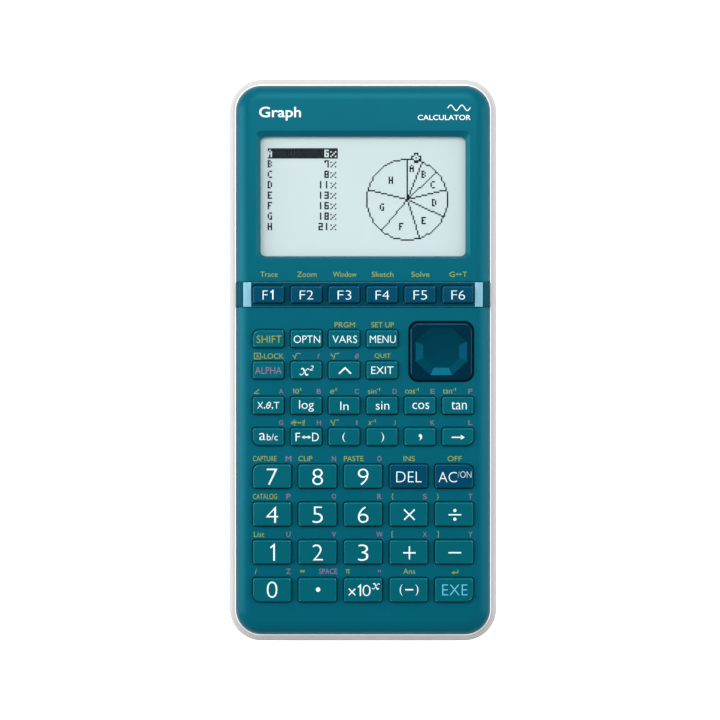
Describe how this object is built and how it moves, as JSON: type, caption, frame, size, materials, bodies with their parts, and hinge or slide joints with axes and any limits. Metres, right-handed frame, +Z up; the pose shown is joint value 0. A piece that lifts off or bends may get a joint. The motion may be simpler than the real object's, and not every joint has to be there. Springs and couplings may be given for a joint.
{
  "type": "graphing calculator",
  "caption": "Handheld graphing calculator with a rectangular display, rows of push keys, a rocking cursor pad and a slide-off battery cover.",
  "frame": {"origin": "on the surface the calculator lies on, under the middle of its case", "axes": "+X to the right across the face, +Y towards the display end, +Z up out of the face"},
  "size_m": [0.0834, 0.1756, 0.0186],
  "materials": {
    "case_teal": "fine satin moulded plastic",
    "case_white": "satin moulded plastic",
    "cover_white": "satin moulded plastic",
    "strip_blue": "polished tinted plastic",
    "window_clear": "clear polished sheet",
    "display_grey": "reflective liquid crystal panel",
    "board_green": "solder mask over glass fibre board",
    "mat_rubber": "moulded silicone rubber",
    "cell_jacket": "printed metallic jacket",
    "pivot_rubber": "moulded rubber",
    "pad_blue": "polished tinted plastic",
    "key_teal": "satin moulded plastic",
    "key_blue": "satin moulded plastic",
    "legend_ink": "printed legends",
    "display_ink": "dark display segments",
    "screw_steel": "blackened steel screws"
  },
  "bodies": {
    "case": {"front_case": "case_teal", "rear_case": "case_white", "function_strip": "strip_blue", "display_window": "window_clear", "lcd_panel": "display_grey", "main_board": "board_green", "key_mat": "mat_rubber", "battery_1": "cell_jacket", "battery_2": "cell_jacket", "battery_3": "cell_jacket", "battery_4": "cell_jacket"},
    "battery_cover": {"battery_cover": "cover_white"},
    "cursor_pivot": {"cursor_pivot": "pivot_rubber"},
    "cursor_pad": {"cursor_pad": "pad_blue"},
    "key_f1": {"key_f1": "key_blue"},
    "key_f2": {"key_f2": "key_blue"},
    "key_f3": {"key_f3": "key_blue"},
    "key_f4": {"key_f4": "key_blue"},
    "key_f5": {"key_f5": "key_blue"},
    "key_f6": {"key_f6": "key_blue"},
    "key_shift": {"key_shift": "key_teal"},
    "key_options": {"key_options": "key_teal"},
    "key_variables": {"key_variables": "key_teal"},
    "key_menu": {"key_menu": "key_teal"},
    "key_alpha": {"key_alpha": "key_teal"},
    "key_square": {"key_square": "key_teal"},
    "key_power": {"key_power": "key_teal"},
    "key_exit": {"key_exit": "key_teal"},
    "key_variable_x": {"key_variable_x": "key_teal"},
    "key_log": {"key_log": "key_teal"},
    "key_ln": {"key_ln": "key_teal"},
    "key_sin": {"key_sin": "key_teal"},
    "key_cos": {"key_cos": "key_teal"},
    "key_tan": {"key_tan": "key_teal"},
    "key_fraction": {"key_fraction": "key_teal"},
    "key_decimal_toggle": {"key_decimal_toggle": "key_teal"},
    "key_open_bracket": {"key_open_bracket": "key_teal"},
    "key_close_bracket": {"key_close_bracket": "key_teal"},
    "key_comma": {"key_comma": "key_teal"},
    "key_store": {"key_store": "key_teal"},
    "key_7": {"key_7": "key_teal"},
    "key_8": {"key_8": "key_teal"},
    "key_9": {"key_9": "key_teal"},
    "key_delete": {"key_delete": "key_blue"},
    "key_clear_on": {"key_clear_on": "key_blue"},
    "key_4": {"key_4": "key_teal"},
    "key_5": {"key_5": "key_teal"},
    "key_6": {"key_6": "key_teal"},
    "key_multiply": {"key_multiply": "key_teal"},
    "key_divide": {"key_divide": "key_teal"},
    "key_1": {"key_1": "key_teal"},
    "key_2": {"key_2": "key_teal"},
    "key_3": {"key_3": "key_teal"},
    "key_plus": {"key_plus": "key_teal"},
    "key_minus": {"key_minus": "key_teal"},
    "key_0": {"key_0": "key_teal"},
    "key_point": {"key_point": "key_teal"},
    "key_exponent": {"key_exponent": "key_teal"},
    "key_negative": {"key_negative": "key_teal"},
    "key_execute": {"key_execute": "key_teal"}
  },
  "joints": [
    {"name": "battery_cover_slide", "type": "slide", "parent": "case", "child": "battery_cover", "axis": [0, 1, 0], "range_m": [0, 0.016]},
    {"name": "cursor_rock_up_down", "type": "hinge", "parent": "case", "child": "cursor_pivot", "pos_m": [0.02431, 0.00263, 0.014], "axis": [1, 0, 0], "range_deg": [-3, 3], "stiffness_Nm_per_rad": 0.17},
    {"name": "cursor_rock_left_right", "type": "hinge", "parent": "cursor_pivot", "child": "cursor_pad", "pos_m": [0.02431, 0.00263, 0.014], "axis": [0, 1, 0], "range_deg": [-3, 3], "stiffness_Nm_per_rad": 0.17},
    {"name": "key_f1_press", "type": "slide", "parent": "case", "child": "key_f1", "axis": [0, 0, -1], "range_m": [0, 0.001], "stiffness_N_per_m": 600, "springref_m": -0.0002},
    {"name": "key_f2_press", "type": "slide", "parent": "case", "child": "key_f2", "axis": [0, 0, -1], "range_m": [0, 0.001], "stiffness_N_per_m": 600, "springref_m": -0.0002},
    {"name": "key_f3_press", "type": "slide", "parent": "case", "child": "key_f3", "axis": [0, 0, -1], "range_m": [0, 0.001], "stiffness_N_per_m": 600, "springref_m": -0.0002},
    {"name": "key_f4_press", "type": "slide", "parent": "case", "child": "key_f4", "axis": [0, 0, -1], "range_m": [0, 0.001], "stiffness_N_per_m": 600, "springref_m": -0.0002},
    {"name": "key_f5_press", "type": "slide", "parent": "case", "child": "key_f5", "axis": [0, 0, -1], "range_m": [0, 0.001], "stiffness_N_per_m": 600, "springref_m": -0.0002},
    {"name": "key_f6_press", "type": "slide", "parent": "case", "child": "key_f6", "axis": [0, 0, -1], "range_m": [0, 0.001], "stiffness_N_per_m": 600, "springref_m": -0.0002},
    {"name": "key_shift_press", "type": "slide", "parent": "case", "child": "key_shift", "axis": [0, 0, -1], "range_m": [0, 0.001], "stiffness_N_per_m": 600, "springref_m": -0.0002},
    {"name": "key_options_press", "type": "slide", "parent": "case", "child": "key_options", "axis": [0, 0, -1], "range_m": [0, 0.001], "stiffness_N_per_m": 600, "springref_m": -0.0002},
    {"name": "key_variables_press", "type": "slide", "parent": "case", "child": "key_variables", "axis": [0, 0, -1], "range_m": [0, 0.001], "stiffness_N_per_m": 600, "springref_m": -0.0002},
    {"name": "key_menu_press", "type": "slide", "parent": "case", "child": "key_menu", "axis": [0, 0, -1], "range_m": [0, 0.001], "stiffness_N_per_m": 600, "springref_m": -0.0002},
    {"name": "key_alpha_press", "type": "slide", "parent": "case", "child": "key_alpha", "axis": [0, 0, -1], "range_m": [0, 0.001], "stiffness_N_per_m": 600, "springref_m": -0.0002},
    {"name": "key_square_press", "type": "slide", "parent": "case", "child": "key_square", "axis": [0, 0, -1], "range_m": [0, 0.001], "stiffness_N_per_m": 600, "springref_m": -0.0002},
    {"name": "key_power_press", "type": "slide", "parent": "case", "child": "key_power", "axis": [0, 0, -1], "range_m": [0, 0.001], "stiffness_N_per_m": 600, "springref_m": -0.0002},
    {"name": "key_exit_press", "type": "slide", "parent": "case", "child": "key_exit", "axis": [0, 0, -1], "range_m": [0, 0.001], "stiffness_N_per_m": 600, "springref_m": -0.0002},
    {"name": "key_variable_x_press", "type": "slide", "parent": "case", "child": "key_variable_x", "axis": [0, 0, -1], "range_m": [0, 0.001], "stiffness_N_per_m": 600, "springref_m": -0.0002},
    {"name": "key_log_press", "type": "slide", "parent": "case", "child": "key_log", "axis": [0, 0, -1], "range_m": [0, 0.001], "stiffness_N_per_m": 600, "springref_m": -0.0002},
    {"name": "key_ln_press", "type": "slide", "parent": "case", "child": "key_ln", "axis": [0, 0, -1], "range_m": [0, 0.001], "stiffness_N_per_m": 600, "springref_m": -0.0002},
    {"name": "key_sin_press", "type": "slide", "parent": "case", "child": "key_sin", "axis": [0, 0, -1], "range_m": [0, 0.001], "stiffness_N_per_m": 600, "springref_m": -0.0002},
    {"name": "key_cos_press", "type": "slide", "parent": "case", "child": "key_cos", "axis": [0, 0, -1], "range_m": [0, 0.001], "stiffness_N_per_m": 600, "springref_m": -0.0002},
    {"name": "key_tan_press", "type": "slide", "parent": "case", "child": "key_tan", "axis": [0, 0, -1], "range_m": [0, 0.001], "stiffness_N_per_m": 600, "springref_m": -0.0002},
    {"name": "key_fraction_press", "type": "slide", "parent": "case", "child": "key_fraction", "axis": [0, 0, -1], "range_m": [0, 0.001], "stiffness_N_per_m": 600, "springref_m": -0.0002},
    {"name": "key_decimal_toggle_press", "type": "slide", "parent": "case", "child": "key_decimal_toggle", "axis": [0, 0, -1], "range_m": [0, 0.001], "stiffness_N_per_m": 600, "springref_m": -0.0002},
    {"name": "key_open_bracket_press", "type": "slide", "parent": "case", "child": "key_open_bracket", "axis": [0, 0, -1], "range_m": [0, 0.001], "stiffness_N_per_m": 600, "springref_m": -0.0002},
    {"name": "key_close_bracket_press", "type": "slide", "parent": "case", "child": "key_close_bracket", "axis": [0, 0, -1], "range_m": [0, 0.001], "stiffness_N_per_m": 600, "springref_m": -0.0002},
    {"name": "key_comma_press", "type": "slide", "parent": "case", "child": "key_comma", "axis": [0, 0, -1], "range_m": [0, 0.001], "stiffness_N_per_m": 600, "springref_m": -0.0002},
    {"name": "key_store_press", "type": "slide", "parent": "case", "child": "key_store", "axis": [0, 0, -1], "range_m": [0, 0.001], "stiffness_N_per_m": 600, "springref_m": -0.0002},
    {"name": "key_7_press", "type": "slide", "parent": "case", "child": "key_7", "axis": [0, 0, -1], "range_m": [0, 0.001], "stiffness_N_per_m": 600, "springref_m": -0.0002},
    {"name": "key_8_press", "type": "slide", "parent": "case", "child": "key_8", "axis": [0, 0, -1], "range_m": [0, 0.001], "stiffness_N_per_m": 600, "springref_m": -0.0002},
    {"name": "key_9_press", "type": "slide", "parent": "case", "child": "key_9", "axis": [0, 0, -1], "range_m": [0, 0.001], "stiffness_N_per_m": 600, "springref_m": -0.0002},
    {"name": "key_delete_press", "type": "slide", "parent": "case", "child": "key_delete", "axis": [0, 0, -1], "range_m": [0, 0.001], "stiffness_N_per_m": 600, "springref_m": -0.0002},
    {"name": "key_clear_on_press", "type": "slide", "parent": "case", "child": "key_clear_on", "axis": [0, 0, -1], "range_m": [0, 0.001], "stiffness_N_per_m": 600, "springref_m": -0.0002},
    {"name": "key_4_press", "type": "slide", "parent": "case", "child": "key_4", "axis": [0, 0, -1], "range_m": [0, 0.001], "stiffness_N_per_m": 600, "springref_m": -0.0002},
    {"name": "key_5_press", "type": "slide", "parent": "case", "child": "key_5", "axis": [0, 0, -1], "range_m": [0, 0.001], "stiffness_N_per_m": 600, "springref_m": -0.0002},
    {"name": "key_6_press", "type": "slide", "parent": "case", "child": "key_6", "axis": [0, 0, -1], "range_m": [0, 0.001], "stiffness_N_per_m": 600, "springref_m": -0.0002},
    {"name": "key_multiply_press", "type": "slide", "parent": "case", "child": "key_multiply", "axis": [0, 0, -1], "range_m": [0, 0.001], "stiffness_N_per_m": 600, "springref_m": -0.0002},
    {"name": "key_divide_press", "type": "slide", "parent": "case", "child": "key_divide", "axis": [0, 0, -1], "range_m": [0, 0.001], "stiffness_N_per_m": 600, "springref_m": -0.0002},
    {"name": "key_1_press", "type": "slide", "parent": "case", "child": "key_1", "axis": [0, 0, -1], "range_m": [0, 0.001], "stiffness_N_per_m": 600, "springref_m": -0.0002},
    {"name": "key_2_press", "type": "slide", "parent": "case", "child": "key_2", "axis": [0, 0, -1], "range_m": [0, 0.001], "stiffness_N_per_m": 600, "springref_m": -0.0002},
    {"name": "key_3_press", "type": "slide", "parent": "case", "child": "key_3", "axis": [0, 0, -1], "range_m": [0, 0.001], "stiffness_N_per_m": 600, "springref_m": -0.0002},
    {"name": "key_plus_press", "type": "slide", "parent": "case", "child": "key_plus", "axis": [0, 0, -1], "range_m": [0, 0.001], "stiffness_N_per_m": 600, "springref_m": -0.0002},
    {"name": "key_minus_press", "type": "slide", "parent": "case", "child": "key_minus", "axis": [0, 0, -1], "range_m": [0, 0.001], "stiffness_N_per_m": 600, "springref_m": -0.0002},
    {"name": "key_0_press", "type": "slide", "parent": "case", "child": "key_0", "axis": [0, 0, -1], "range_m": [0, 0.001], "stiffness_N_per_m": 600, "springref_m": -0.0002},
    {"name": "key_point_press", "type": "slide", "parent": "case", "child": "key_point", "axis": [0, 0, -1], "range_m": [0, 0.001], "stiffness_N_per_m": 600, "springref_m": -0.0002},
    {"name": "key_exponent_press", "type": "slide", "parent": "case", "child": "key_exponent", "axis": [0, 0, -1], "range_m": [0, 0.001], "stiffness_N_per_m": 600, "springref_m": -0.0002},
    {"name": "key_negative_press", "type": "slide", "parent": "case", "child": "key_negative", "axis": [0, 0, -1], "range_m": [0, 0.001], "stiffness_N_per_m": 600, "springref_m": -0.0002},
    {"name": "key_execute_press", "type": "slide", "parent": "case", "child": "key_execute", "axis": [0, 0, -1], "range_m": [0, 0.001], "stiffness_N_per_m": 600, "springref_m": -0.0002}
  ]
}
